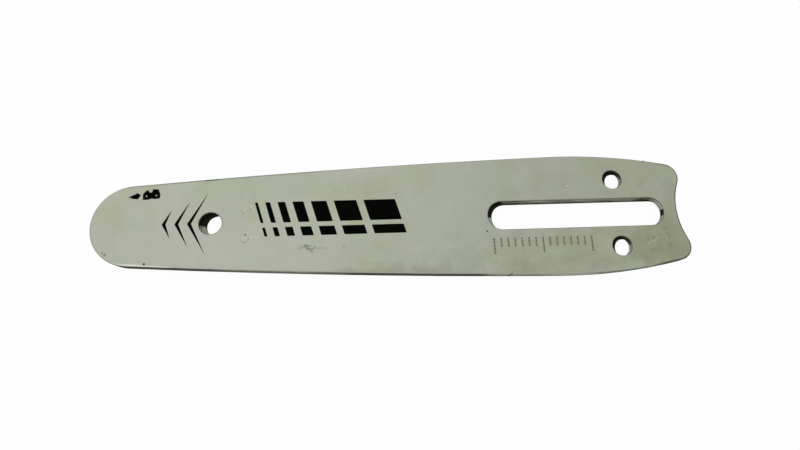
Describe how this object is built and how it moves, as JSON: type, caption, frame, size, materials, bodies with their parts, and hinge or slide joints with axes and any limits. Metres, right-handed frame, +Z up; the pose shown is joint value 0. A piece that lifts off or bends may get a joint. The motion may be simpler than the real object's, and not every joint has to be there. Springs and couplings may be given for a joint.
{
  "type": "chainsaw guide bar",
  "caption": "Short hard-nose guide bar for a small chainsaw: welded steel sheets with a chain groove round the core, a stud slot, tension holes and a hanging hole.",
  "frame": {"origin": "middle of the bar's length and width, on the lower face that it lies on", "axes": "+X from the nose to the tail along the length, +Y across the bar, +Z up out of the printed face"},
  "size_m": [0.206, 0.0432, 0.0036],
  "materials": {
    "side_steel": "dull ground steel, faintly oiled",
    "core_steel": "dark cut steel",
    "print_ink": "matt black screen print"
  },
  "bodies": {
    "root": {"top_side_plate": "side_steel", "core_plate": "core_steel", "bottom_side_plate": "side_steel"}
  },
  "joints": []
}
